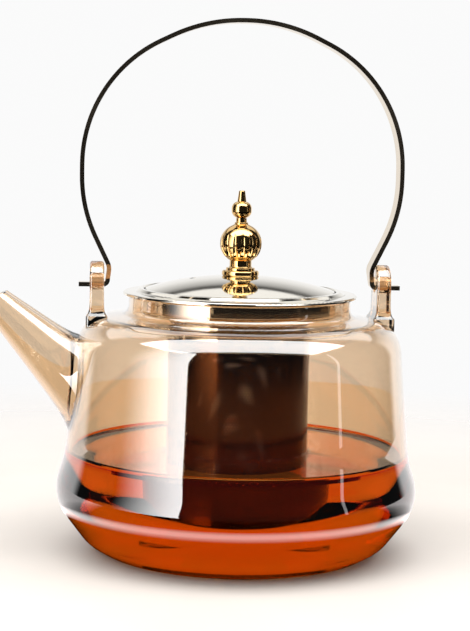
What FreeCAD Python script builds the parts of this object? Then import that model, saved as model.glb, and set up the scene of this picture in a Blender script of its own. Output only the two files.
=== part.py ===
"""Glass teapot with a lift-out steel infuser, a domed lid and a strip bail handle.

Frame: +Z up, origin at the centre of the flat glass foot, spout towards -X, bail hinge along X.
Every length is in millimetres and is driven by the Dims spreadsheet.
"""
import FreeCAD, Part
import math
import os

import Sketcher

DIMENSIONS = {
    # blown glass body: radii and heights of the corners of its outer profile
    "foot_radius": 54.6,
    "foot_round": 7.7,
    "bowl_radius": 62.2,
    "bowl_height": 4.3,
    "bowl_round": 14.5,
    "bulge_radius": 75.9,
    "bulge_height": 22.5,
    "bulge_round": 17.5,
    "waist_radius": 70.5,
    "waist_height": 39.5,
    "waist_round": 40.0,
    "shoulder_radius": 65.85,
    "shoulder_height": 94.6,
    "shoulder_round": 13.9,
    "neck_radius": 45.5,
    "neck_root_height": 97.5,
    "neck_round": 3.5,
    "neck_top": 105.1,
    "glass_wall": 2.4,
    # spout: a cone whose axis leans outwards and up
    "spout_lean": 47.1,
    "spout_root_out": 52.9,
    "spout_root_height": 58.5,
    "spout_length": 76.0,
    "spout_root_radius": 17.0,
    "spout_end_radius": 4.08,
    "spout_wall": 1.8,
    "mouth_out": 95.2,
    "mouth_height": 105.5,
    "mouth_slope": 27.0,
    "mouth_block_side": 60.0,
    "mouth_block_height": 40.0,
    # glass lugs that carry the bail
    "lug_inner": 55.6,
    "lug_thickness": 5.8,
    "lug_half_width": 8.2,
    "lug_foot": 85.6,
    "lug_edge_round": 1.2,
    "pin_height": 110.1,
    "pin_hole_radius": 3.3,
    # bail strip: centre line corners of one half, and its section
    "strip_half_width": 4.7,
    "strip_half_thickness": 0.9,
    "bail_top": 216.0,
    "bail_top_corner": 15.8,
    "bail_top_round": 66.0,
    "bail_half_span": 65.0,
    "bail_upper_corner": 192.0,
    "bail_upper_round": 55.3,
    "bail_lower_corner": 140.0,
    "bail_lower_round": 57.0,
    "bail_bend": 53.5,
    "bail_bend_height": 116.3,
    "bail_bend_round": 6.0,
    "hook_bend": 54.35,
    "hook_round": 1.9,
    "tongue_height": 108.9,
    "tongue_end": 65.8,
    "tongue_half_width": 2.5,
    "tongue_foot": 103.7,
    "taper_low": 111.3,
    "taper_high": 117.7,
    "waste_half_width": 4.9,
    # infuser
    "flange_radius": 47.75,
    "flange_edge": 1.0,
    "flange_bead": 42.6,
    "flange_crest": 41.0,
    "crest_height": 107.6,
    "collar_radius": 39.85,
    "collar_wall": 0.7,
    "ledge_top": 96.4,
    "ledge_round": 1.6,
    "basket_radius": 29.0,
    "basket_wall": 0.5,
    "basket_floor": 17.5,
    "base_round": 0.3,
    "socket_depth": 5.0,
    # lid
    "dome_radius": 38.7,
    "dome_edge": 107.3,
    "dome_seat": 7.8,
    "dome_top": 113.0,
    "dome_curve": 120.0,
    "dome_sheet": 0.8,
    "vent_radius": 1.25,
    "vent_out": 19.5,
    "skirt_radius": 38.0,
    "skirt_wall": 0.6,
    "skirt_top": 107.1,
    # knob: heights above the lid and radii of its turned profile
    "disc_radius": 7.6,
    "disc_height": 2.4,
    "cove_radius": 5.9,
    "cove_height": 3.4,
    "stem_radius": 4.5,
    "ball_low": 6.3,
    "ball_radius": 8.5,
    "ball_centre": 13.9,
    "ball_high": 21.1,
    "ball_low_corner": 8.6,
    "ball_high_corner": 18.3,
    "ball_round": 7.7,
    "collar_ring": 2.8,
    "collar_ring_top": 21.9,
    "bead_neck": 2.2,
    "bead_low": 23.6,
    "bead_radius": 4.1,
    "bead_round": 2.9,
    "bead_high": 30.4,
    "tip_root": 1.85,
    "tip_end": 1.25,
    "knob_top": 34.8,
    "flute_out": 9.4,
    "flute_count": 16.0,
    "flute_radius": 1.2,
    "flute_swing": 84.0,
    # fastening under the lid
    "screw_radius": 2.0,
    "screw_seat": 111.2,
    "screw_reach": 6.0,
    "screw_head": 3.6,
    "head_height": 2.2,
    "washer_radius": 6.0,
    "washer_thickness": 1.0,
}

doc = FreeCAD.newDocument("Teapot")


def make_sheet():
    """Write every driving dimension into one aliased spreadsheet."""
    sheet = doc.addObject("Spreadsheet::Sheet", "Dims")
    for row, (name, number) in enumerate(DIMENSIONS.items(), start=1):
        sheet.set(f"A{row}", name)
        sheet.set(f"B{row}", str(number))
        sheet.setAlias(f"B{row}", name)
    doc.recompute()


def amount(text):
    """Value of a sum such as 'neck_radius - glass_wall'."""
    total = 0.0
    sign = 1.0
    for word in text.split():
        if word in "+-":
            sign = 1.0 if word == "+" else -1.0
            continue
        total += sign * (DIMENSIONS[word] if word in DIMENSIONS else float(word))
    return total


def formula(text):
    """The same sum as an expression on the spreadsheet."""
    return " ".join(f"Dims.{word}" if word in DIMENSIONS else word for word in text.split())


def origin_plane(body, role):
    """One of a body's own origin planes."""
    return next(item for item in body.Origin.OriginFeatures if item.Role == role)


def make_sketch(body, name, role):
    """An empty sketch on one of the body's origin planes."""
    sketch = body.newObject("Sketcher::SketchObject", name)
    sketch.AttachmentSupport = [(origin_plane(body, role), "")]
    sketch.MapMode = "FlatFace"
    return sketch


def bind(sketch, kind, place, text):
    """Add a dimension to a sketch and drive it from the spreadsheet."""
    index = sketch.addConstraint(Sketcher.Constraint(kind, *place, amount(text)))
    sketch.setExpression(f"Constraints[{index}]", formula(text))


def locate(sketch, place, across, along):
    """Fix a sketch point by its two coordinates, each a sum of dimensions."""
    for kind, text, axis in (("DistanceX", across, -2), ("DistanceY", along, -1)):
        if text == "0":
            sketch.addConstraint(Sketcher.Constraint("PointOnObject", *place, axis))
        else:
            bind(sketch, kind, place, text)


def rounding(before, corner, after, radius):
    """Tangent points, centre and turn direction of the arc that rounds a corner."""
    back = (before - corner).normalize()
    ahead = (after - corner).normalize()
    half = back.getAngle(ahead) / 2
    reach = radius / math.tan(half)
    centre = corner + (back + ahead).normalize() * (radius / math.sin(half))
    return corner + back * reach, corner + ahead * reach, centre


def arc_between(start, end, centre, radius):
    """The shorter arc from start to end, with a flag for its direction."""
    first = math.atan2(start.y - centre.y, start.x - centre.x)
    last = math.atan2(end.y - centre.y, end.x - centre.x)
    forward = (last - first) % (2 * math.pi) < math.pi
    if not forward:
        first, last = last, first
    circle = Part.Circle(centre, FreeCAD.Vector(0, 0, 1), radius)
    return Part.ArcOfCircle(circle, first, last), forward


def draw_profile(sketch, corners, closed=True):
    """Draw a chain of lines through corners (across, along, rounding or None)."""
    points = [FreeCAD.Vector(amount(across), amount(along), 0) for across, along, _ in corners]
    count = len(corners)
    ends = [(point, point) for point in points]
    arcs = {}
    for number, (_, _, text) in enumerate(corners):
        if text is None:
            continue
        radius = amount(text)
        before = points[number - 1]
        after = points[(number + 1) % count]
        start, end, centre = rounding(before, points[number], after, radius)
        ends[number] = (start, end)
        arcs[number] = arc_between(start, end, centre, radius)
    lines = []
    for number in range(count if closed else count - 1):
        segment = Part.LineSegment(ends[number][1], ends[(number + 1) % count][0])
        lines.append(sketch.addGeometry(segment, False))
    for number in range(count):
        entering = lines[number - 1] if number or closed else None
        leaving = lines[number] if number < len(lines) else None
        across, along, text = corners[number]
        if text is None:
            join_corner(sketch, entering, leaving, across, along)
        else:
            shape, forward = arcs[number]
            round_corner(sketch, entering, leaving, shape, forward, points[number], corners[number])


def join_corner(sketch, entering, leaving, across, along):
    """Join two lines at a sharp corner, or fix the free end of a chain."""
    if entering is not None and leaving is not None:
        sketch.addConstraint(Sketcher.Constraint("Coincident", entering, 2, leaving, 1))
    place = (entering, 2) if leaving is None else (leaving, 1)
    locate(sketch, place, across, along)


def round_corner(sketch, entering, leaving, shape, forward, point, corner):
    """Join two lines by a tangent arc and fix the sharp corner that they would make."""
    across, along, text = corner
    arc = sketch.addGeometry(shape, False)
    first, last = (1, 2) if forward else (2, 1)
    sketch.addConstraint(Sketcher.Constraint("Tangent", entering, 2, arc, first))
    sketch.addConstraint(Sketcher.Constraint("Tangent", arc, last, leaving, 1))
    bind(sketch, "Radius", (arc,), text)
    sharp = sketch.addGeometry(Part.Point(point), True)
    sketch.addConstraint(Sketcher.Constraint("PointOnObject", sharp, 1, entering))
    sketch.addConstraint(Sketcher.Constraint("PointOnObject", sharp, 1, leaving))
    locate(sketch, (sharp, 1), across, along)


def draw_circle(sketch, across, along, radius):
    """Draw a circle placed and sized by the spreadsheet."""
    centre = FreeCAD.Vector(amount(across), amount(along), 0)
    circle = Part.Circle(centre, FreeCAD.Vector(0, 0, 1), amount(radius))
    index = sketch.addGeometry(circle, False)
    locate(sketch, (index, 3), across, along)
    bind(sketch, "Radius", (index,), radius)


def new_body(name):
    """An empty PartDesign body whose label is the sub-part's name."""
    body = doc.addObject("PartDesign::Body", name)
    body.Label = name
    return body


def revolve(body, corners, name="profile"):
    """Add a full revolution about Z of a profile drawn in the XZ plane."""
    sketch = make_sketch(body, name, "XZ_Plane")
    draw_profile(sketch, corners)
    feature = body.newObject("PartDesign::Revolution", f"{name}_turn")
    feature.Profile = sketch
    feature.ReferenceAxis = (sketch, ["V_Axis"])
    feature.Angle = 360.0
    sketch.Visibility = False
    doc.recompute()
    return feature


def turned(name, corners):
    """A body made by turning one profile about Z."""
    body = new_body(name)
    revolve(body, corners)
    return body


def cut(name, base, tool):
    """Boolean difference that keeps its label as the sub-part's name."""
    result = doc.addObject("Part::Cut", name)
    result.Label = name
    result.Base = base
    result.Tool = tool
    doc.recompute()
    return result


GLASS_OUTSIDE = [
    ("0", "0", None),
    ("foot_radius", "0", "foot_round"),
    ("bowl_radius", "bowl_height", "bowl_round"),
    ("bulge_radius", "bulge_height", "bulge_round"),
    ("waist_radius", "waist_height", "waist_round"),
    ("shoulder_radius", "shoulder_height", "shoulder_round"),
    ("neck_radius", "neck_root_height", "neck_round"),
    ("neck_radius", "neck_top", None),
    ("0", "neck_top", None),
]


def spout_cone(name, wall):
    """Cone along the spout's axis; a wall gives the bore inside it."""
    cone = doc.addObject("Part::Cone", name)
    cone.setExpression("Radius1", formula(f"spout_root_radius - {wall}"))
    cone.setExpression("Radius2", formula(f"spout_end_radius - {wall}"))
    cone.setExpression("Height", formula("spout_length"))
    cone.Placement.Rotation = FreeCAD.Rotation(FreeCAD.Vector(0, -1, 0), amount("spout_lean"))
    cone.setExpression("Placement.Base.x", formula("0 - spout_root_out"))
    cone.setExpression("Placement.Base.z", formula("spout_root_height"))
    cone.setExpression("Placement.Rotation.Angle", formula("spout_lean"))
    doc.recompute()
    return cone


def mouth_cutter():
    """Block above the slanted plane of the spout's mouth."""
    block = doc.addObject("Part::Box", "mouth_block")
    block.setExpression("Length", formula("mouth_block_side"))
    block.setExpression("Width", formula("mouth_block_side"))
    block.setExpression("Height", formula("mouth_block_height"))
    turn = FreeCAD.Rotation(FreeCAD.Vector(0, -1, 0), amount("mouth_slope"))
    corner = FreeCAD.Vector(-amount("mouth_out"), 0, amount("mouth_height"))
    half = amount("mouth_block_side") / 2
    block.Placement = FreeCAD.Placement(corner - turn.multVec(FreeCAD.Vector(half, half, 0)), turn)
    doc.recompute()
    return block


def make_pot_body(bore):
    """Blown glass body: a turned solid hollowed through its neck, with the spout's bore."""
    blank = new_body("pot_blank")
    feature = revolve(blank, GLASS_OUTSIDE)
    top = max(range(len(feature.Shape.Faces)), key=lambda n: feature.Shape.Faces[n].CenterOfMass.z)
    shell = blank.newObject("PartDesign::Thickness", "pot_wall")
    shell.Base = (feature, [f"Face{top + 1}"])
    shell.Mode = 0
    shell.Join = 0
    shell.Reversed = True
    shell.setExpression("Value", formula("glass_wall"))
    doc.recompute()
    return cut("pot_body", blank, bore)


def make_spout(envelope, bore):
    """Conical glass spout, trimmed to the wall of the pot and to its slanted mouth."""
    tube = cut("spout_tube", spout_cone("spout_outside", "0"), bore)
    open_tube = cut("spout_open", tube, mouth_cutter())
    return cut("spout", open_tube, envelope)


def make_lug(name, side, envelope):
    """Upright glass lug with a rounded head and the hole for the bail."""
    body = new_body(f"{name}_blank")
    sketch = make_sketch(body, "outline", "YZ_Plane")
    half = "lug_half_width"
    head = "pin_height + lug_half_width"
    corners = [
        (f"0 - {half}", "lug_foot", None),
        (half, "lug_foot", None),
        (half, head, "lug_half_width - 0.05"),
        (f"0 - {half}", head, "lug_half_width - 0.05"),
    ]
    draw_profile(sketch, corners)
    draw_circle(sketch, "0", "pin_height", "pin_hole_radius")
    pad = body.newObject("PartDesign::Pad", "slab")
    pad.Profile = sketch
    pad.setExpression("Length", formula("lug_thickness"))
    doc.recompute()
    rounded = [f"Edge{n + 1}" for n, edge in enumerate(pad.Shape.Edges) if is_lug_rim(edge)]
    fillet = body.newObject("PartDesign::Fillet", "soft_edge")
    fillet.Base = (pad, rounded)
    fillet.setExpression("Radius", formula("lug_edge_round"))
    start = "lug_inner" if side > 0 else "0 - lug_inner - lug_thickness"
    body.setExpression("Placement.Base.x", formula(start))
    doc.recompute()
    return cut(name, body, envelope)


def is_lug_rim(edge):
    """True for the long edges around a lug's two faces, not its hole, foot or corners."""
    box = edge.BoundBox
    along_x = box.XLength > 1.0
    in_hole = edge.Curve.TypeId == "Part::GeomCircle" and edge.Curve.Radius < 4.0
    at_foot = box.ZMax < amount("lug_foot") + 0.1
    return not (along_x or in_hole or at_foot)


def make_bail():
    """Bent strip: one half swept along its centre line, mirrored, with narrowed tongues."""
    body = new_body("bail_strip")
    path = make_sketch(body, "centre_line", "XZ_Plane")
    corners = [
        ("0", "bail_top", None),
        ("bail_top_corner", "bail_top", "bail_top_round"),
        ("bail_half_span", "bail_upper_corner", "bail_upper_round"),
        ("bail_half_span", "bail_lower_corner", "bail_lower_round"),
        ("bail_bend", "bail_bend_height", "bail_bend_round"),
        ("hook_bend", "tongue_height", "hook_round"),
        ("tongue_end", "tongue_height", None),
    ]
    draw_profile(path, corners, closed=False)
    section = make_sketch(body, "section", "YZ_Plane")
    low = "bail_top - strip_half_thickness"
    high = "bail_top + strip_half_thickness"
    draw_profile(section, [
        ("0 - strip_half_width", low, None),
        ("strip_half_width", low, None),
        ("strip_half_width", high, None),
        ("0 - strip_half_width", high, None),
    ])
    doc.recompute()
    sweep = body.newObject("PartDesign::AdditivePipe", "half_strip")
    sweep.Profile = section
    sweep.Spine = (path, [f"Edge{n + 1}" for n in range(len(path.Shape.Edges))])
    doc.recompute()
    mirror = body.newObject("PartDesign::Mirrored", "both_halves")
    mirror.Originals = [sweep]
    mirror.MirrorPlane = (origin_plane(body, "YZ_Plane"), [""])
    body.Tip = mirror
    doc.recompute()
    waste = make_sketch(body, "tongue_waste", "YZ_Plane")
    for sign in ("", "0 - "):
        draw_profile(waste, [
            (f"{sign}tongue_half_width", "tongue_foot", None),
            (f"{sign}tongue_half_width", "taper_low", None),
            (f"{sign}waste_half_width", "taper_high", None),
            (f"{sign}waste_half_width", "tongue_foot", None),
        ])
    pocket = body.newObject("PartDesign::Pocket", "narrowed_tongues")
    pocket.Profile = waste
    pocket.Type = "ThroughAll"
    pocket.Midplane = True
    doc.recompute()
    return body


def make_infuser_rim():
    """Spun steel flange with a thick edge, the collar below it and the ledge for the basket."""
    return turned("infuser_rim", [
        ("flange_radius", "neck_top", None),
        ("flange_radius", "neck_top + flange_edge", "flange_edge - 0.4"),
        ("flange_bead", "neck_top + flange_edge + 0.2", "1.5"),
        ("flange_crest", "crest_height", "1.0"),
        ("collar_radius - collar_wall", "crest_height", "0.6"),
        ("collar_radius - collar_wall", "ledge_top", "ledge_round - collar_wall"),
        ("basket_radius", "ledge_top", None),
        ("basket_radius", "ledge_top - socket_depth", None),
        ("basket_radius + collar_wall", "ledge_top - socket_depth", None),
        ("basket_radius + collar_wall", "ledge_top - collar_wall", "0.5"),
        ("collar_radius", "ledge_top - collar_wall", "ledge_round"),
        ("collar_radius", "neck_top", None),
    ])


def make_infuser_basket():
    """Perforated wall of the basket, a thin open tube."""
    return turned("infuser_basket", [
        ("basket_radius - basket_wall", "basket_floor + basket_wall", None),
        ("basket_radius", "basket_floor + basket_wall", None),
        ("basket_radius", "ledge_top - 0.2", None),
        ("basket_radius - basket_wall", "ledge_top - 0.2", None),
    ])


def make_infuser_base():
    """Perforated disc that closes the basket, with a small turned rim radius."""
    return turned("infuser_base", [
        ("0", "basket_floor", None),
        ("basket_radius", "basket_floor", "base_round"),
        ("basket_radius", "basket_floor + basket_wall", None),
        ("0", "basket_floor + basket_wall", None),
    ])


def dome_arc(sketch, inner, outer, radius):
    """Arc of the dome from the knob's seat to the edge, centred on the axis side."""
    chord = outer - inner
    middle = (inner + outer) * 0.5
    down = FreeCAD.Vector(chord.y, -chord.x, 0).normalize()
    centre = middle + down * math.sqrt(radius**2 - (chord.Length / 2) ** 2)
    shape, forward = arc_between(inner, outer, centre, radius)
    return sketch.addGeometry(shape, False), forward


def make_lid_dome():
    """Domed steel lid with a flat seat for the knob and one steam vent."""
    body = new_body("lid_dome")
    sketch = make_sketch(body, "profile", "XZ_Plane")
    edge_low = "dome_edge - dome_sheet"
    top_low = "dome_top - dome_sheet"
    spots = [
        ("0", "dome_top"),
        ("dome_seat", "dome_top"),
        ("dome_radius", "dome_edge"),
        ("dome_radius", edge_low),
        ("dome_seat", top_low),
        ("0", top_low),
    ]
    points = [FreeCAD.Vector(amount(across), amount(along), 0) for across, along in spots]
    pieces = []
    for number, point in enumerate(points):
        after = points[(number + 1) % len(points)]
        if number == 1:
            index, forward = dome_arc(sketch, point, after, amount("dome_curve"))
            bind(sketch, "Radius", (index,), "dome_curve")
            pieces.append((index, 1, 2) if forward else (index, 2, 1))
        elif number == 3:
            index, forward = dome_arc(sketch, after, point, amount("dome_curve"))
            bind(sketch, "Radius", (index,), "dome_curve")
            pieces.append((index, 2, 1) if forward else (index, 1, 2))
        else:
            pieces.append((sketch.addGeometry(Part.LineSegment(point, after), False), 1, 2))
    for number, (index, start, _) in enumerate(pieces):
        before, _, end = pieces[number - 1]
        sketch.addConstraint(Sketcher.Constraint("Coincident", before, end, index, start))
        locate(sketch, (index, start), *spots[number])
    turn = body.newObject("PartDesign::Revolution", "dome")
    turn.Profile = sketch
    turn.ReferenceAxis = (sketch, ["V_Axis"])
    turn.Angle = 360.0
    doc.recompute()
    vent = make_sketch(body, "vent", "XY_Plane")
    draw_circle(vent, "0 - vent_out", "0", "vent_radius")
    hole = body.newObject("PartDesign::Pocket", "vent_hole")
    hole.Profile = vent
    hole.Type = "ThroughAll"
    hole.Reversed = True
    screw = make_sketch(body, "screw_hole", "XY_Plane")
    draw_circle(screw, "0", "0", "screw_radius")
    passage = body.newObject("PartDesign::Pocket", "screw_passage")
    passage.Profile = screw
    passage.Type = "ThroughAll"
    passage.Reversed = True
    doc.recompute()
    return body


def make_lid_skirt(dome):
    """Short tube that stands on the infuser's ledge, trimmed to the underside of the dome."""
    blank = turned("skirt_blank", [
        ("skirt_radius - skirt_wall", "ledge_top", None),
        ("skirt_radius", "ledge_top", None),
        ("skirt_radius", "skirt_top", None),
        ("skirt_radius - skirt_wall", "skirt_top", None),
    ])
    return cut("lid_skirt", blank, dome)


def above_lid(text):
    """Height of a knob corner, counted from the knob's seat."""
    return f"dome_top + {text}"


def make_knob():
    """Turned finial: disc, cove, fluted ball, ring, bead and tip, drilled for its screw."""
    body = new_body("knob")
    feature = revolve(body, [
        ("0", "dome_top + screw_reach", None),
        ("screw_radius", "dome_top + screw_reach", None),
        ("screw_radius", "dome_top", None),
        ("disc_radius", "dome_top", "0.8"),
        ("disc_radius", above_lid("disc_height"), "1.0"),
        ("cove_radius", above_lid("disc_height"), None),
        ("cove_radius", above_lid("cove_height"), "0.3"),
        ("stem_radius", above_lid("cove_height"), "0.8"),
        ("stem_radius", above_lid("ball_low"), None),
        ("ball_radius", above_lid("ball_low_corner"), "ball_round"),
        ("ball_radius", above_lid("ball_high_corner"), "ball_round"),
        ("collar_ring", above_lid("ball_high"), None),
        ("collar_ring", above_lid("collar_ring_top"), "0.4"),
        ("bead_neck", above_lid("collar_ring_top"), None),
        ("bead_neck", above_lid("bead_low"), None),
        ("bead_radius", above_lid("bead_low"), "bead_round"),
        ("bead_radius", above_lid("bead_high"), "bead_round"),
        ("tip_root", above_lid("bead_high"), None),
        ("tip_end", above_lid("knob_top"), "0.5"),
        ("0", above_lid("knob_top"), None),
    ])
    return cut_flutes(body, feature)


def cut_flutes(body, feature):
    """Cut one curved flute down the ball and repeat it around the knob."""
    sketch = make_sketch(body, "flute", "XY_Plane")
    sketch.setExpression("AttachmentOffset.Base.z", formula("dome_top + ball_centre"))
    draw_circle(sketch, "flute_out", "0", "flute_radius")
    groove = body.newObject("PartDesign::Groove", "flute_cut")
    groove.Profile = sketch
    groove.ReferenceAxis = (sketch, ["V_Axis"])
    groove.Midplane = True
    groove.setExpression("Angle", formula("flute_swing"))
    doc.recompute()
    pattern = body.newObject("PartDesign::PolarPattern", "flutes")
    pattern.Originals = [groove]
    axis = next(item for item in body.Origin.OriginFeatures if item.Role == "Z_Axis")
    pattern.Axis = (axis, [""])
    pattern.Angle = 360.0
    pattern.setExpression("Occurrences", formula("flute_count"))
    body.Tip = pattern
    doc.recompute()
    if body.Shape.Volume >= feature.Shape.Volume - 10:
        raise RuntimeError("the flutes cut nothing from the knob")
    return body


def make_knob_screw():
    """Screw from below: domed head, plain shank in the knob."""
    return turned("knob_screw", [
        ("0", "dome_top + screw_reach - 0.5", None),
        ("screw_radius", "dome_top + screw_reach - 0.5", "0.4"),
        ("screw_radius", "screw_seat", None),
        ("screw_head", "screw_seat", None),
        ("screw_head", "screw_seat - head_height", "0.8"),
        ("0", "screw_seat - head_height", None),
    ])


def make_knob_washer():
    """Flat washer between the screw's head and the underside of the dome."""
    return turned("knob_washer", [
        ("screw_radius", "screw_seat", None),
        ("washer_radius", "screw_seat", None),
        ("washer_radius", "screw_seat + washer_thickness", None),
        ("screw_radius", "screw_seat + washer_thickness", None),
    ])


def check_document():
    """Stop if any object failed to compute."""
    for item in doc.Objects:
        if {"Invalid", "Error"} & set(item.State):
            raise RuntimeError(f"{item.Name} failed: {item.State}")


def export(parts):
    """Check each sub-part's solid and write it to its own file."""
    os.makedirs("parts", exist_ok=True)
    for item in parts:
        shape = item.Shape
        if shape.isNull() or not shape.isValid() or len(shape.Solids) != 1:
            raise RuntimeError(f"{item.Label} is not one valid solid")
        shape.exportStep(f"parts/{item.Label}.step")
        print(f"{item.Label}: {shape.Volume:.0f} mm3, {len(shape.Faces)} faces")


make_sheet()
envelope = turned("pot_envelope", GLASS_OUTSIDE)
bore = spout_cone("spout_bore", "spout_wall")
dome = make_lid_dome()
sub_parts = [
    make_pot_body(bore),
    make_spout(envelope, bore),
    make_lug("lug_left", -1, envelope),
    make_lug("lug_right", 1, envelope),
    make_bail(),
    make_infuser_rim(),
    make_infuser_basket(),
    make_infuser_base(),
    dome,
    make_lid_skirt(dome),
    make_knob(),
    make_knob_screw(),
    make_knob_washer(),
]
doc.recompute()
check_document()
export(sub_parts)
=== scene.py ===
"""Looks for the glass teapot: fused glass body, tea, perforated basket, metals and studio."""
import math

import bmesh
import bpy
from mathutils import Matrix, Vector


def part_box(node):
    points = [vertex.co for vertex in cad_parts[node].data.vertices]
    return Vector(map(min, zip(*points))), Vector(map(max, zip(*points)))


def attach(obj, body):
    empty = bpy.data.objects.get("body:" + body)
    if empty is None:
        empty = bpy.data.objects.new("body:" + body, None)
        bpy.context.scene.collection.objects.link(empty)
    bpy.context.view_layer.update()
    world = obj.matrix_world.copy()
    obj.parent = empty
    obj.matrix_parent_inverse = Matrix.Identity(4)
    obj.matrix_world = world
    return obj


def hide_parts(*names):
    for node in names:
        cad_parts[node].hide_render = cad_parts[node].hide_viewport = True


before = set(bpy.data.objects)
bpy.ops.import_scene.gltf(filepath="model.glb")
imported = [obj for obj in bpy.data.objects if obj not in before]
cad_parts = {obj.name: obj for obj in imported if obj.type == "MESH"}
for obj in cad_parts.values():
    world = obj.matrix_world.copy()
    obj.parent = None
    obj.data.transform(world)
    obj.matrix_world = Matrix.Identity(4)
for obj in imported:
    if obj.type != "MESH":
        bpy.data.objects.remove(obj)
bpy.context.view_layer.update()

MM = 0.001

# ---------------------------------------------------------------- shape helpers


def rounded(corners, step=5.0):
    """Polyline through corners (x, y, radius), each corner rounded by a tangent arc."""
    points = [Vector(c[:2]) for c in corners]
    out = [points[0]]
    for before, here, after, corner in zip(points, points[1:], points[2:], corners[1:]):
        radius = corner[2] if len(corner) > 2 else 0.0
        back, ahead = (before - here).normalized(), (after - here).normalized()
        turn = math.pi - back.angle(ahead)
        if radius <= 0 or turn < 1e-4:
            out.append(here)
            continue
        length = radius * math.tan(turn / 2)
        centre = here + (back + ahead).normalized() * math.hypot(radius, length)
        start = here + back * length - centre
        side = 1 if back.x * ahead.y - back.y * ahead.x < 0 else -1
        count = max(2, math.ceil(math.degrees(turn) / step))
        for i in range(count + 1):
            out.append(centre + Matrix.Rotation(side * turn * i / count, 2) @ start)
    out.append(points[-1])
    return out


def refined(points, longest):
    """The polyline with its long runs divided."""
    out = [points[0]]
    for a, b in zip(points, points[1:]):
        parts = max(1, math.ceil((b - a).length / longest))
        out += [a.lerp(b, i / parts) for i in range(1, parts + 1)]
    return out


def inset(points, distance):
    """The polyline moved to its left by a distance."""
    out = []
    for i, p in enumerate(points):
        ahead = (points[min(i + 1, len(points) - 1)] - p)
        back = (p - points[max(i - 1, 0)])
        way = (ahead.normalized() if ahead.length > 1e-9 else Vector((0, 0))) + (
            back.normalized() if back.length > 1e-9 else Vector((0, 0)))
        way.normalize()
        out.append(p + Vector((-way.y, way.x)) * distance)
    return out


def mesh_object(name, verts, faces, smooth=True):
    """A mesh object from points in millimetres."""
    mesh = bpy.data.meshes.new(name)
    mesh.from_pydata([tuple(c * MM for c in v) for v in verts], [], faces)
    mesh.validate()
    bm = bmesh.new()
    bm.from_mesh(mesh)
    bmesh.ops.remove_doubles(bm, verts=bm.verts, dist=1e-7)
    bmesh.ops.recalc_face_normals(bm, faces=bm.faces)
    bm.to_mesh(mesh)
    bm.free()
    if smooth:
        mesh.shade_smooth()
    obj = bpy.data.objects.new(name, mesh)
    bpy.context.scene.collection.objects.link(obj)
    return obj


def circle(count):
    """Cosine and sine of evenly spaced angles round a circle."""
    return [(math.cos(a), math.sin(a)) for a in (2 * math.pi * k / count for k in range(count))]


def lathe(name, profile, segments=256):
    """A closed solid of revolution about Z; the profile starts and ends on the axis."""
    inner = profile[1:-1]
    verts = [(0, 0, profile[0].y), (0, 0, profile[-1].y)]
    verts += [(p.x * c, p.x * s, p.y) for p in inner for c, s in circle(segments)]
    faces = []

    def at(i, k):
        return 2 + i * segments + k % segments

    for k in range(segments):
        faces.append((0, at(0, k + 1), at(0, k)))
        faces.append((1, at(len(inner) - 1, k), at(len(inner) - 1, k + 1)))
        for i in range(len(inner) - 1):
            faces.append((at(i, k), at(i, k + 1), at(i + 1, k + 1), at(i + 1, k)))
    return mesh_object(name, verts, faces)


def tube_stack(name, rings):
    """A closed solid through rings of points (all with one count), capped at both ends."""
    count = len(rings[0])
    verts = [v for ring in rings for v in ring]
    faces = [tuple(reversed(range(count))), tuple(len(verts) - count + k for k in range(count))]
    for i in range(len(rings) - 1):
        for k in range(count):
            a, b = i * count + k, i * count + (k + 1) % count
            faces.append((a, b, b + count, a + count))
    return mesh_object(name, verts, faces)


def boolean(obj, other, operation):
    """Apply an exact boolean to obj and remove the other object."""
    mod = obj.modifiers.new("boolean", "BOOLEAN")
    mod.operation, mod.solver, mod.object = operation, "EXACT", other
    bpy.context.view_layer.update()
    depsgraph = bpy.context.evaluated_depsgraph_get()
    made = bpy.data.meshes.new_from_object(obj.evaluated_get(depsgraph))
    obj.modifiers.clear()
    old, obj.data = obj.data, made
    bpy.data.meshes.remove(old)
    bpy.data.objects.remove(other)


def soften(obj, degrees):
    """Smooth shading that keeps edges sharper than an angle."""
    obj.data.shade_smooth()
    obj.data.set_sharp_from_angle(angle=math.radians(degrees))


# ---------------------------------------------------------------- material helpers


def add_node(tree, kind, inputs=None, **settings):
    """A new shader node; an input that is a socket is linked, any other value is set."""
    node = tree.nodes.new("ShaderNode" + kind)
    for key, value in settings.items():
        setattr(node, key, value)
    for key, value in (inputs or {}).items():
        if isinstance(value, bpy.types.NodeSocket):
            tree.links.new(value, node.inputs[key])
        else:
            node.inputs[key].default_value = value
    return node


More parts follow.
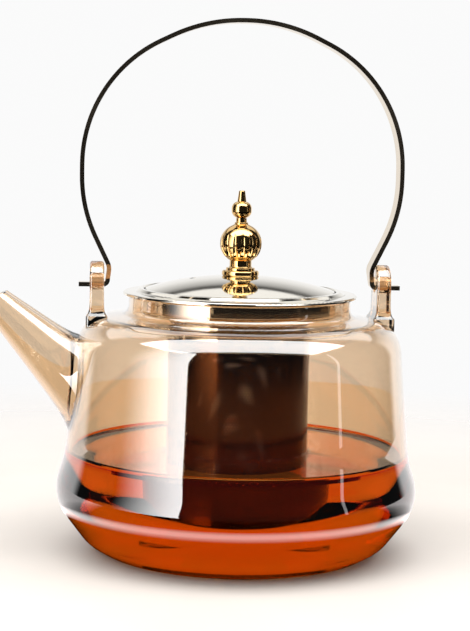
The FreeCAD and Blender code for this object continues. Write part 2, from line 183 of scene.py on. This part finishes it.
class Nodes:
    """A short way to build a material's node tree."""

    def __init__(self, name):
        self.material = bpy.data.materials.new(name)
        self.material.use_nodes = True
        self.tree = self.material.node_tree
        self.shader = self.tree.nodes["Principled BSDF"]
        self.output = self.tree.nodes["Material Output"]

    def add(self, kind, inputs=None, **settings):
        return add_node(self.tree, kind, inputs, **settings)

    def set(self, **inputs):
        for key, value in inputs.items():
            socket = self.shader.inputs[key.replace("_", " ")]
            if isinstance(value, bpy.types.NodeSocket):
                self.tree.links.new(value, socket)
            else:
                socket.default_value = value

    def ramp(self, factor, *stops):
        node = self.add("ValToRGB", {"Fac": factor})
        elements = node.color_ramp.elements
        while len(elements) < len(stops):
            elements.new(0.5)
        for element, (position, colour) in zip(elements, stops):
            element.position = position
            element.color = (*colour, 1)
        return node.outputs["Color"]

    def noise(self, scale, stretch=(1, 1, 1), detail=4.0, roughness=0.5):
        place = self.add("TexCoord").outputs["Object"]
        scaled = self.add("Mapping", {"Vector": place, "Scale": stretch})
        return self.add("TexNoise", {"Vector": scaled.outputs[0], "Scale": scale, "Detail": detail,
                                     "Roughness": roughness}).outputs["Fac"]

    def remap(self, value, low, high, start=0.0, end=1.0):
        return self.add("MapRange", {"Value": value, "From Min": start, "From Max": end,
                                     "To Min": low, "To Max": high}).outputs["Result"]

    def bump(self, height, strength, distance):
        return self.add("Bump", {"Height": height, "Strength": strength,
                                 "Distance": distance}).outputs["Normal"]


# ---------------------------------------------------------------- materials

WHITE = (1, 1, 1, 1)
AMBER = (0.92, 0.68, 0.46, 1)
GLASS_IOR, LUSTRE_IOR = 1.47, 2.1
# glass against tea, and tea against air; the tea's sides lie on the glass and bend nothing
WET_GLASS_IOR, TEA_IOR, TEA_SIDE_IOR = 1.103, 1.333, 1.0
TEA_COLOUR, TEA_DENSITY = (0.97, 0.67, 0.04, 1), 52.0

def metal(name, light, dark, rough, scratch):
    """Polished sheet metal: fine turned lines, faint smudges, a slightly uneven colour."""
    m = Nodes(name)
    smudge = m.noise(38, detail=6)
    lines = m.noise(900, (1, 1, 0.08), 3)
    m.set(Metallic=1.0,
          Base_Color=m.ramp(smudge, (0.3, dark), (0.7, light)),
          Roughness=m.remap(smudge, rough * 0.6, rough * 1.5, 0.3, 0.7),
          Normal=m.bump(lines, scratch, 0.00004))
    return m.material


def glass_material(name, ior, coated):
    """Blown glass with a faint ripple; its outside has an amber lustre that mirrors strongly."""
    m = Nodes(name)
    ripple = m.noise(26, (1, 1, 0.35), 2)
    m.set(Base_Color=AMBER if coated else WHITE, IOR=ior, Roughness=0.0,
          Normal=m.bump(ripple, 0.12, 0.0004))
    m.shader.inputs["Transmission Weight"].default_value = 1.0
    if coated:
        m.set(Coat_Weight=1.0, Coat_Roughness=0.0, Coat_IOR=LUSTRE_IOR)
    return m.material


def tea_material(name, ior):
    """Black tea: bright orange where it is thin, red-brown where it is deep."""
    m = Nodes(name)
    m.set(Base_Color=WHITE, IOR=ior, Roughness=0.0)
    m.shader.inputs["Transmission Weight"].default_value = 1.0
    absorb = m.add("VolumeAbsorption", {"Color": TEA_COLOUR, "Density": TEA_DENSITY})
    m.tree.links.new(absorb.outputs[0], m.output.inputs["Volume"])
    return m.material


def perforated_material():
    """Fine perforated steel: satin, coloured a very dark, mottled red-brown."""
    m = Nodes("perforated_steel")
    grain = m.noise(420, (1, 1, 0.1), 4)
    basket_mottle = m.noise(30, detail=5)
    m.set(Metallic=1.0,
          Base_Color=m.ramp(basket_mottle, (0.3, (0.070, 0.024, 0.008)), (0.7, (0.095, 0.034, 0.012))),
          Roughness=m.remap(grain, 0.10, 0.20, 0.3, 0.7),
          Normal=m.bump(grain, 0.1, 0.00005))
    return m.material


# the floor's painted light and painted shade, by the distance from the pot's axis in metres
FLOOR_FADE, FLOOR_FADE_FAR = 0.17, 0.48
# mirrored: a painted shadow round the pot, then a painted bright ring beyond it
SHADE_START, SHADE_END = 0.082, 0.092
RING_START, RING_END, RING_POWER = 0.098, 0.112, 1.9
# mirrored: painted light behind the pot, by the distance behind its axis
BEHIND_START, BEHIND_END, BEHIND_POWER = -0.02, 0.05, 1.1
# through the glass: a painted glow, dimmer in the middle under the basket where its shadow is
# painted, and a little dimmer further out
FOOT_START, FOOT_END, FOOT_POWER, AROUND_POWER = 0.022, 0.062, 0.22, 1.08
FAR_START, FAR_END, FAR_LOSS = 0.12, 0.30, -0.10
# the colours of the painted reflection and of the painted glow
PAINTED_REFLECTION_COLOUR, PAINTED_GLOW_COLOUR = (1.0, 0.95, 0.94, 1), (1.0, 0.86, 0.68, 1)


def floor_material():
    """Pale matt table that thins out into the white of the backdrop. Seen through the pot it is an
    emission instead: a painted glow that stands in for the light falling through the glass, dimmer
    in the middle where the basket's shadow is painted. Mirrored, it is an emission too: a painted
    shadow round the pot, with painted light in a ring beyond it and behind it."""
    m = Nodes("floor")
    place = m.add("TexCoord").outputs["Object"]
    far = m.add("VectorMath", {0: place}, operation="LENGTH").outputs["Value"]
    rays = m.add("LightPath")
    mottle = m.noise(9, detail=5)
    m.set(Base_Color=m.ramp(mottle, (0.3, (0.50, 0.46, 0.42)), (0.7, (0.54, 0.50, 0.46))),
          Roughness=0.6)

    def mixed(share, first, second):
        mix = m.add("MixShader", {"Fac": share})
        m.tree.links.new(first, mix.inputs[1])
        m.tree.links.new(second, mix.inputs[2])
        return mix.outputs[0]

    def combined(operation, first, second):
        return m.add("Math", {0: first, 1: second}, operation=operation).outputs[0]

    def glow(colour, strength):
        return m.add("Emission", {"Color": colour, "Strength": strength}).outputs[0]

    clear = m.add("BsdfTransparent").outputs[0]
    table = mixed(m.remap(far, 0.0, 1.0, FLOOR_FADE, FLOOR_FADE_FAR), m.shader.outputs[0], clear)
    # painted reflection: mirrored rays see an emission, with a painted shadow round the pot and
    # painted light in a ring beyond it and behind it
    depth = m.add("SeparateXYZ", {0: place}).outputs["Y"]
    shade = m.remap(far, 0.0, 1.0, SHADE_START, SHADE_END)
    ring = m.remap(far, RING_POWER, 0.0, RING_START, RING_END)
    behind = m.remap(depth, 0.0, BEHIND_POWER, BEHIND_START, BEHIND_END)
    mirrored = glow(PAINTED_REFLECTION_COLOUR,
                    combined("MULTIPLY", shade, combined("MAXIMUM", ring, behind)))
    # painted light: rays through the glass see an emission, a painted glow for the light that falls
    # through the pot, dimmer in the middle where the basket's shadow is painted
    foot = m.remap(far, FOOT_POWER, AROUND_POWER, FOOT_START, FOOT_END)
    through = glow(PAINTED_GLOW_COLOUR,
                   combined("ADD", foot, m.remap(far, 0.0, FAR_LOSS, FAR_START, FAR_END)))
    seen = mixed(combined("GREATER_THAN", rays.outputs["Glossy Depth"], 0.5), table, mirrored)
    seen = mixed(combined("GREATER_THAN", rays.outputs["Transmission Depth"], 0.5), seen, through)
    m.tree.links.new(seen, m.output.inputs["Surface"])
    return m.material


# ---------------------------------------------------------------- glass

GLASS = [(0, 0), (54.6, 0, 7.7), (62.2, 4.3, 14.5), (75.9, 22.5, 17.5), (70.5, 39.5, 40.0),
         (65.85, 94.6, 13.9), (45.5, 97.5, 3.5), (45.5, 105.1)]
WALL = 2.4
LIP = 1.0
TEA_LEVEL = 41.2
CORE_RADIUS = 29.0

SPOUT_LEAN = math.radians(47.1)
SPOUT_ROOT = Vector((-52.9, 0, 58.5))
SPOUT_AXIS = Vector((-math.sin(SPOUT_LEAN), 0, math.cos(SPOUT_LEAN)))
SPOUT_LENGTH, SPOUT_WIDE, SPOUT_NARROW, SPOUT_WALL = 76.0, 17.0, 4.08, 1.8
MOUTH = Vector((-95.2, 0, 105.5))
MOUTH_FALL = math.radians(27.0)

PIN = 110.1
LUG_HALF_WIDTH, LUG_INNER, LUG_OUTER, LUG_EDGE, HOLE = 8.2, 55.6, 61.4, 1.2, 3.3
LUG_FOOT = 91.6
PIN_REACH = 64

# the welds: the lugs swell at the shoulder and the spout flares at the wall
SWELL, SWELL_FROM, SWELL_FALL = 1.5, 96.6, 1.3
FLARE, FLARE_FALL, WALL_TOP = 1.6, 4.0, 93.6

glass_line = refined(rounded(GLASS), 2.0)
inner_line = inset(glass_line, WALL)
inner_line[0] = Vector((0, WALL))


def wall_radius(height):
    """Outer radius of the glass above the bulge at a height."""
    best = glass_line[-1].x
    for a, b in zip(glass_line, glass_line[1:]):
        if min(a.y, b.y) <= height <= max(a.y, b.y) and abs(b.y - a.y) > 1e-9:
            best = a.x + (b.x - a.x) * (height - a.y) / (b.y - a.y)
    return best


def outer_solid():
    """The outside of the blown body, with a fire-rounded lip."""
    top = glass_line[-1]
    lip = [top + Vector((LIP * (math.cos(a) - 1), LIP * (math.sin(a) - 1)))
           for a in (math.radians(15 * i) for i in range(7))]
    line = glass_line[:-1] + lip
    return lathe("glass", line + [Vector((0, top.y))])


def cavity():
    """The inside of the blown body, open above the lip, which it rounds on its inner side."""
    top = glass_line[-1].y
    bore = inner_line[-1].x
    line = [p for p in inner_line if p.y < top - LIP]
    for i, (a, b) in enumerate(zip(line, line[1:])):
        if a.y < TEA_LEVEL < b.y:
            line.insert(i + 1, a.lerp(b, (TEA_LEVEL - a.y) / (b.y - a.y)))
            break
    lip = [Vector((bore + LIP - LIP * math.cos(a), top - LIP + LIP * math.sin(a)))
           for a in (math.radians(15 * i) for i in range(7))]
    line += lip + [Vector((lip[-1].x, top + 6)), Vector((0, top + 6))]
    return lathe("cavity", line)


def spout_rings(start, end, shrink, flare, count=96, step=1.5):
    """Rings along the spout's cone; flare widens them softly where the cone meets the body."""
    u, v = Vector((math.cos(SPOUT_LEAN), 0, math.sin(SPOUT_LEAN))), Vector((0, 1, 0))
    rings = []
    steps = max(2, math.ceil((end - start) / step))
    for i in range(steps + 1):
        s = start + (end - start) * i / steps
        radius = SPOUT_WIDE + (SPOUT_NARROW - SPOUT_WIDE) * s / SPOUT_LENGTH - shrink
        ring = []
        for across, aside in circle(count):
            way = u * across + v * aside
            point = SPOUT_ROOT + SPOUT_AXIS * s + way * radius
            if flare:
                gap = math.hypot(point.x, point.y) - wall_radius(min(point.z, WALL_TOP))
                point += way * flare * math.exp(-max(gap, -2.0) / FLARE_FALL)
            ring.append(point)
        rings.append(ring)
    return rings


def spout_solid():
    solid = tube_stack("spout_blank", spout_rings(0, 80, 0, FLARE))
    trim_mouth(solid)
    return solid


def trim_mouth(solid):
    """Cut the spout's end on the slanted plane of its mouth."""
    normal = Vector((-math.sin(MOUTH_FALL), 0, math.cos(MOUTH_FALL)))
    bm = bmesh.new()
    bm.from_mesh(solid.data)
    cut = bmesh.ops.bisect_plane(bm, geom=bm.verts[:] + bm.edges[:] + bm.faces[:],
                                 plane_co=MOUTH * MM, plane_no=normal, clear_outer=True)
    edges = [e for e in cut["geom_cut"] if isinstance(e, bmesh.types.BMEdge)]
    bmesh.ops.contextual_create(bm, geom=edges)
    bmesh.ops.recalc_face_normals(bm, faces=bm.faces)
    bm.to_mesh(solid.data)
    bm.free()


def lug_solid(side):
    """An upright slab with a round top and soft edges, thicker where it meets the shoulder."""
    upright, arc, bend, strips = 22, 20, 5, 10
    outline = [Vector((LUG_HALF_WIDTH, LUG_FOOT + (PIN - LUG_FOOT) * i / upright))
               for i in range(upright + 1)]
    outline += [Vector((LUG_HALF_WIDTH * math.cos(a), PIN + LUG_HALF_WIDTH * math.sin(a)))
                for a in (math.pi / 2 * i / arc for i in range(1, arc + 1))]
    half, middle = (LUG_OUTER - LUG_INNER) / 2, (LUG_OUTER + LUG_INNER) / 2
    right = [(half - LUG_EDGE + LUG_EDGE * math.sin(math.pi / 2 - a),
              LUG_EDGE - LUG_EDGE * math.cos(math.pi / 2 - a))
             for a in (math.pi / 2 * i / bend for i in range(bend + 1))]
    profile = right + [(-x, d) for x, d in reversed(right)]
    rings = []
    for p in outline:
        angle = math.atan2(p.y - PIN, p.x) if p.y > PIN else 0.0
        out = Vector((math.cos(angle), math.sin(angle)))
        swell = SWELL * math.exp(-max(p.y - SWELL_FROM, 0.0) / SWELL_FALL)
        edge = []
        for x, d in profile:
            place = p - out * d + out * swell
            edge.append(Vector((x * (1 + swell / half), max(place.x, 0.0), place.y)))
        first, last = edge[0], edge[-1]
        ring = list(edge)
        ring += [Vector((last.x, last.y * (1 - 2 * j / strips), last.z)) for j in range(1, strips)]
        ring += [Vector((q.x, -q.y, q.z)) for q in reversed(edge)]
        ring += [Vector((first.x, -first.y * (1 - 2 * j / strips), first.z))
                 for j in range(1, strips)]
        rings.append([Vector((side * (middle + q.x), q.y, q.z)) for q in ring])
    return tube_stack("lug_blank", rings)


def pin_hole():
    """Cutter for the hole across both lugs."""
    return tube_stack("pin_hole", [[Vector((x, HOLE * c, PIN + HOLE * s)) for c, s in circle(64)]
                                   for x in (-PIN_REACH, PIN_REACH)])


def to_line(line, point):
    """Shortest distance from a point to a polyline."""
    best = 1e9
    for a, b in zip(line, line[1:]):
        along = b - a
        share = max(0.0, min(1.0, (point - a).dot(along) / max(along.length_squared, 1e-12)))
        best = min(best, (point - a - along * share).length)
    return best


def side_of(centre):
    """0 on the coated outside of the glass, 1 on its dry inside, 2 on its inside under the tea."""
    point = Vector((math.hypot(centre.x, centre.y), centre.z))
    if to_line(inner_line, point) < 0.25:
        return 2 if centre.z < TEA_LEVEL else 1
    along = (centre - SPOUT_ROOT).dot(SPOUT_AXIS)
    if centre.x < -40 and 0 < along < SPOUT_LENGTH:
        off = (centre - SPOUT_ROOT - SPOUT_AXIS * along).length
        cone = SPOUT_WIDE + (SPOUT_NARROW - SPOUT_WIDE) * along / SPOUT_LENGTH
        if off < cone - SPOUT_WALL * 0.6:
            return 1
    return 0


def make_glass():
    glass = outer_solid()
    boolean(glass, spout_solid(), "UNION")
    for side in (-1, 1):
        boolean(glass, lug_solid(side), "UNION")
    boolean(glass, cavity(), "DIFFERENCE")
    boolean(glass, tube_stack("bore", spout_rings(4, 84, SPOUT_WALL, 0)), "DIFFERENCE")
    boolean(glass, pin_hole(), "DIFFERENCE")
    soften(glass, 35)
    glass.data.materials.clear()
    glass.data.materials.append(glass_material("amber_glass", GLASS_IOR, True))
    glass.data.materials.append(glass_material("clear_glass", GLASS_IOR, False))
    glass.data.materials.append(glass_material("wet_glass", WET_GLASS_IOR, False))
    for polygon in glass.data.polygons:
        polygon.material_index = side_of(polygon.center / MM)
    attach(glass, "pot")
    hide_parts("pot_body", "spout", "lug_left", "lug_right")


# how the tea climbs: (distance in from the glass, rise) and (distance out from the basket, rise)
TEA_GAP = 0.04
GLASS_CLIMB = ((0, 1.2), (0.25, 0.75), (0.7, 0.35), (1.4, 0.1), (2.6, 0))
BASKET_CLIMB = ((1.6, 0), (0.7, 0.2), (0.1, 0.7), (-0.6, 0.7), (-1.2, 0.2), (-2.0, 0))


def make_tea():
    """The tea: it fills the bowl and climbs a little at the glass and at the basket."""
    bed = [p for p in inset(glass_line, WALL + TEA_GAP) if p.y < TEA_LEVEL - 0.3 and p.x > 0]
    bed[0] = Vector((0, WALL + TEA_GAP))
    edge = bed[-1].x
    surface = [(edge - back, TEA_LEVEL + rise) for back, rise in GLASS_CLIMB]
    surface += [(CORE_RADIUS + out, TEA_LEVEL + rise) for out, rise in BASKET_CLIMB]
    surface.append((0, TEA_LEVEL))
    tea = lathe("tea", bed + refined([Vector(p) for p in surface], 4.0))
    soften(tea, 50)
    tea.data.materials.append(tea_material("tea", TEA_IOR))
    tea.data.materials.append(tea_material("tea_in_glass", TEA_SIDE_IOR))
    for polygon in tea.data.polygons:
        on_glass = polygon.normal.z < 0.02 or polygon.center.z < (TEA_LEVEL - 2) * MM
        polygon.material_index = 1 if on_glass else 0
    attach(tea, "pot")


# ---------------------------------------------------------------- perforated basket

HOLE_SHARE = 0.22
HOLE_STRETCH = 1.15
ROW_PITCH = 0.88
BASKET_WALL, BASKET_COLUMNS, BAND_LOW, BAND_HIGH = 0.5, 150, 2.4, 3.0
BASE_PITCH, BASE_BAND, BASE_OVERLAP, BASE_SINK, BASE_EDGE = 1.5, 3.0, 0.6, 0.08, 0.25
BASE_SEGMENTS = 192


def holed_cells(columns, rows, closed):
    """A sheet of cells in half-pitch units, staggered, each with a six-sided hole.
    Returns points (column, row) and faces; a closed sheet joins its last column to its first."""
    wide = 2 * columns
    points, index, faces = [], {}, []

    def key(x, y):
        if closed:
            x %= wide
        if (x, y) not in index:
            index[(x, y)] = len(points)
            points.append((x, y))
        return index[(x, y)]

    for row in range(rows):
        for column in range(columns):
            x = 2 * column + row % 2
            if not closed and x + 2 > wide:
                continue
            ring = [key(x, row), key(x + 1, row), key(x + 2, row),
                    key(x + 2, row + 1), key(x + 1, row + 1), key(x, row + 1)]
            hole = []
            for k in range(6):
                a = math.radians(-150 + 60 * k)
                points.append((x + 1 + HOLE_SHARE * 2 * math.cos(a),
                               row + 0.5 + HOLE_SHARE * HOLE_STRETCH * math.sin(a)))
                hole.append(len(points) - 1)
            for k in range(6):
                n = (k + 1) % 6
                faces.append((ring[k], ring[n], hole[n], hole[k]))
    return points, faces


def thick_sheet(name, points, faces, place, keep=None):
    """A solid sheet: place(point, side) puts a point on its outer (0) or inner (1) face."""
    if keep:
        faces = [f for f in faces if all(keep(points[i]) for i in f)]
    count = len(points)
    verts = [place(p, 0) for p in points] + [place(p, 1) for p in points]
    edges = dict.fromkeys(pair for f in faces for pair in zip(f, f[1:] + f[:1]))
    rim = [(a, b) for a, b in edges if (b, a) not in edges]
    solid = list(faces) + [tuple(i + count for i in reversed(f)) for f in faces]
    solid += [(b, a, a + count, b + count) for a, b in rim]
    used = sorted({i for f in solid for i in f})
    renumber = {old: new for new, old in enumerate(used)}
    return mesh_object(name, [verts[i] for i in used],
                       [tuple(renumber[i] for i in f) for f in solid], smooth=False)


def make_basket():
    """The basket's wall: staggered holes between two plain bands."""
    low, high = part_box("infuser_basket")
    low_z, high_z, radius = low.z / MM, high.z / MM, high.x / MM
    columns = BASKET_COLUMNS
    pitch = 2 * math.pi * radius / columns
    rows = round((high_z - low_z - BAND_LOW - BAND_HIGH) / (pitch * ROW_PITCH))
    tall = (high_z - low_z - BAND_LOW - BAND_HIGH) / rows
    points, faces = holed_cells(columns, rows, True)
    # the plain bands: their points have (row, distance from it) for a height
    index = {p: i for i, p in enumerate(points)}
    for row, depth in ((0, -BAND_LOW), (rows, BAND_HIGH)):
        line = [index[(x, row)] for x in range(2 * columns) if (x, row) in index]
        extra = []
        for i in line:
            points.append((points[i][0], (row, depth)))
            extra.append(len(points) - 1)
        for k in range(len(line)):
            n = (k + 1) % len(line)
            quad = (line[k], line[n], extra[n], extra[k])
            faces.append(quad if row else tuple(reversed(quad)))

    def place(p, side):
        x, y = p
        z = low_z + BAND_LOW + (y[0] * tall + y[1] if isinstance(y, tuple) else y * tall)
        a = math.pi * x / columns
        r = radius - BASKET_WALL * side
        return (r * math.cos(a), r * math.sin(a), z)

    basket = thick_sheet("basket_wall", points, faces, place)
    soften(basket, 40)
    basket.data.materials.append(steel_holed)
    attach(basket, "infuser")
    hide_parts("infuser_basket")


def make_base():
    """The basket's bottom: a holed disc and the plain ring round it."""
    low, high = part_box("infuser_base")
    low_z, high_z, radius = low.z / MM, high.z / MM, high.x / MM
    cells = math.ceil(2 * radius / BASE_PITCH) + 2
    rows = round(cells / ROW_PITCH)
    points, faces = holed_cells(cells, rows, False)
    middle = (cells, rows / 2)

    def flat(p):
        return ((p[0] - middle[0]) * BASE_PITCH / 2, (p[1] - middle[1]) * BASE_PITCH * ROW_PITCH)

    def keep(p):
        return math.hypot(*flat(p)) < radius - BASE_BAND + BASE_OVERLAP

    def place(p, side):
        x, y = flat(p)
        return (x, y, low_z + BASE_SINK if side else high_z - BASE_SINK)

    base = thick_sheet("basket_base", points, faces, place, keep)
    soften(base, 40)
    band = [(radius - BASE_BAND, low_z), (radius - BASE_EDGE, low_z), (radius, low_z + BASE_EDGE),
            (radius, high_z), (radius - BASE_BAND, high_z)]
    verts, ring_faces = [], []
    segments = BASE_SEGMENTS
    for p in (Vector(corner) for corner in band):
        verts += [(p.x * c, p.x * s, p.y) for c, s in circle(segments)]
    for i in range(len(band)):
        j = (i + 1) % len(band)
        for k in range(segments):
            n = (k + 1) % segments
            ring_faces.append((i * segments + k, i * segments + n,
                               j * segments + n, j * segments + k))
    rim = mesh_object("basket_base_rim", verts, ring_faces)
    soften(rim, 30)
    for piece in (base, rim):
        piece.data.materials.append(steel_holed)
        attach(piece, "infuser")
    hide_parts("infuser_base")


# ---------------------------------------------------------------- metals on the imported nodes


def dress(node, material):
    """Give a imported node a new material."""
    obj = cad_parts[node]
    obj.data.materials.clear()
    obj.data.materials.append(material)
    for polygon in obj.data.polygons:
        polygon.material_index = 0


# ---------------------------------------------------------------- studio


FLOOR_SEGMENTS, FLOOR_REACH, FLOOR_DROP = 128, 500, 0.0002

# what mirrored rays see: (height of the ray's direction, brightness), and the dark remainder
HAZE = ((0, 0.90), (0.20, 0.86), (0.27, 0.76), (0.32, 0.64), (0.376, 0.50), (0.42, 0.32),
        (0.45, 0.08), (0.485, 0.08), (0.51, 1.0), (1, 1.0))
HAZE_TINT, HAZE_POWER = (1, 0.99, 0.96), 1.12
FACING_START, FACING_END = 0.52, 0.66
TOP_START, TOP_END = 0.83, 0.86
DARK, DARK_INSIDE = 0.015, 0.018
BACKDROP = 0.96


def make_floor():
    """A round table that the material fades out."""
    verts = [(0, 0, 0)] + [(FLOOR_REACH * c, FLOOR_REACH * s, 0) for c, s in circle(FLOOR_SEGMENTS)]
    faces = [(0, 1 + k, 1 + (k + 1) % FLOOR_SEGMENTS) for k in range(FLOOR_SEGMENTS)]
    floor = mesh_object("floor", verts, faces, smooth=False)
    floor.location.z = -FLOOR_DROP
    floor.data.materials.append(floor_material())


def make_world():
    """White for what is seen directly or through glass; mirrored rays see a studio that is bright
    behind the pot and dark on the camera's side."""
    world = bpy.data.worlds.new("studio")
    bpy.context.scene.world = world
    world.use_nodes = True
    tree = world.node_tree
    tree.nodes.clear()

    def add(kind, inputs=None, **settings):
        return add_node(tree, kind, inputs, **settings)

    def combined(operation, first, second):
        return add("Math", {0: first, 1: second}, operation=operation).outputs[0]

    way = add("SeparateXYZ", {0: add("TexCoord").outputs["Generated"]})
    flat = combined("POWER", way.outputs["X"], 2.0)
    deep = combined("POWER", way.outputs["Y"], 2.0)
    level = combined("POWER", combined("ADD", flat, deep), 0.5)
    facing = combined("DIVIDE", way.outputs["Y"], level)
    behind = add("MapRange", {"Value": facing, "From Min": FACING_START, "From Max": FACING_END,
                              "To Min": 0.0, "To Max": 1.0},
                 interpolation_type="SMOOTHSTEP").outputs["Result"]
    below = add("MapRange", {"Value": way.outputs["Z"], "From Min": TOP_START,
                             "From Max": TOP_END, "To Min": 1.0, "To Max": 0.0}).outputs["Result"]
    haze = add("ValToRGB", {"Fac": way.outputs["Z"]})
    elements = haze.color_ramp.elements
    for place, _ in HAZE[1:-1]:
        elements.new(place)
    for element, (_, value) in zip(elements, HAZE):
        element.color = (*(value * tint for tint in HAZE_TINT), 1)
    low = combined("MULTIPLY", haze.outputs["Color"], HAZE_POWER)
    lit = combined("MULTIPLY", combined("MULTIPLY", behind, below), low)
    rays = add("LightPath")
    inside = combined("GREATER_THAN", rays.outputs["Transmission Depth"], 0.5)
    dark = add("MapRange", {"Value": inside, "To Min": DARK,
                            "To Max": DARK_INSIDE}).outputs["Result"]
    studio = combined("ADD", lit, dark)
    mirrored = combined("GREATER_THAN", rays.outputs["Glossy Depth"], 0.5)
    strength = add("Mix", {"Factor": mirrored, "A": BACKDROP, "B": studio},
                   data_type="FLOAT").outputs["Result"]
    background = add("Background", {"Color": WHITE, "Strength": strength})
    output = add("OutputWorld")
    tree.links.new(background.outputs[0], output.inputs["Surface"])


def face(obj, place, target):
    """Put an object at a place with its front towards a target."""
    obj.location = place
    obj.rotation_euler = (Vector(target) - Vector(place)).to_track_quat("-Z", "Y").to_euler()


def add_light(name, place, target, size, power):
    """A rectangular softbox that faces a target; power is its radiance."""
    data = bpy.data.lights.new(name, "AREA")
    data.shape = "RECTANGLE"
    data.size, data.size_y = size
    data.energy = power * math.pi * size[0] * size[1]
    light = bpy.data.objects.new(name, data)
    face(light, place, target)
    light.visible_camera = False
    bpy.context.scene.collection.objects.link(light)


def add_panel(name, place, target, size, power, fade):
    """A window whose brightness fades out towards its -X edge over a share of its width."""
    wide, tall = (side / 2 / MM for side in size)
    corners = [(-wide, -tall, 0), (wide, -tall, 0), (wide, tall, 0), (-wide, tall, 0)]
    panel = mesh_object(name, corners, [(0, 1, 2, 3)], smooth=False)
    face(panel, place, target)
    m = Nodes(name)
    across = m.add("SeparateXYZ", {0: m.add("TexCoord").outputs["Object"]}).outputs["X"]
    bright = m.add("MapRange", {"Value": across, "From Min": -size[0] / 2,
                                "From Max": size[0] * (fade - 0.5), "To Min": 0.0, "To Max": power},
                   interpolation_type="SMOOTHSTEP").outputs["Result"]
    glow = m.add("Emission", {"Color": WHITE, "Strength": bright})
    m.tree.links.new(glow.outputs[0], m.output.inputs["Surface"])
    m.tree.nodes.remove(m.shader)
    panel.data.materials.append(m.material)
    panel.visible_camera = False
    panel.visible_shadow = False


def make_lights():
    add_panel("window", (-1.10, -0.54, 0.38), (0, 0.02, 0.38), (1.12, 1.76), 5.5, 1.08)
    add_light("overhead", (0, -0.30, 1.10), (0, -0.30, 0), (2.2, 0.93), 4.6)
    add_light("strip", (1.09, -0.51, 0.45), (0, 0, 0.45), (0.05, 0.9), 1.2)


# ---------------------------------------------------------------- camera

# the image's width and the lens in pixels, the angles, and the distances in metres
IMAGE_WIDTH = 470
FOCAL = 1750
SENSOR = 36.0
YAW, PITCH, ROLL = math.radians(5.5), math.radians(6.0), math.radians(1.25)
DISTANCE, HEIGHT, ASIDE = 0.7135, 0.1716, -0.0018


def make_camera():
    ahead = Vector((math.sin(YAW), math.cos(YAW), 0))
    right = Vector((math.cos(YAW), -math.sin(YAW), 0))
    up = Vector((0, 0, 1))
    look = ahead * math.cos(PITCH) - up * math.sin(PITCH)
    top = ahead * math.sin(PITCH) + up * math.cos(PITCH)
    tilted_right = right * math.cos(ROLL) + top * math.sin(ROLL)
    tilted_top = top * math.cos(ROLL) - right * math.sin(ROLL)
    place = right * ASIDE - ahead * DISTANCE + up * HEIGHT
    data = bpy.data.cameras.new("camera")
    data.sensor_fit, data.sensor_width = "HORIZONTAL", SENSOR
    data.lens = FOCAL / IMAGE_WIDTH * data.sensor_width
    data.clip_start, data.clip_end = 0.05, 50.0
    camera = bpy.data.objects.new("camera", data)
    matrix = Matrix((tilted_right, tilted_top, -look)).transposed().to_4x4()
    matrix.translation = place
    camera.matrix_world = matrix
    bpy.context.scene.collection.objects.link(camera)
    bpy.context.scene.camera = camera


# ---------------------------------------------------------------- build

steel = metal("polished_steel", (0.82, 0.78, 0.70), (0.75, 0.71, 0.63), 0.07, 0.12)
gold = metal("gold_plate", (0.78, 0.52, 0.22), (0.66, 0.42, 0.16), 0.08, 0.08)
gilt = metal("bail_metal", (0.74, 0.62, 0.46), (0.62, 0.50, 0.36), 0.13, 0.10)
steel_holed = perforated_material()

make_glass()
make_tea()
make_basket()
make_base()
dress("bail_strip", gilt)
dress("knob", gold)
for node in ("infuser_rim", "lid_dome", "lid_skirt", "knob_screw", "knob_washer"):
    dress(node, steel)
make_floor()
make_world()
make_lights()
make_camera()
bpy.context.scene.view_settings.view_transform = "Standard"
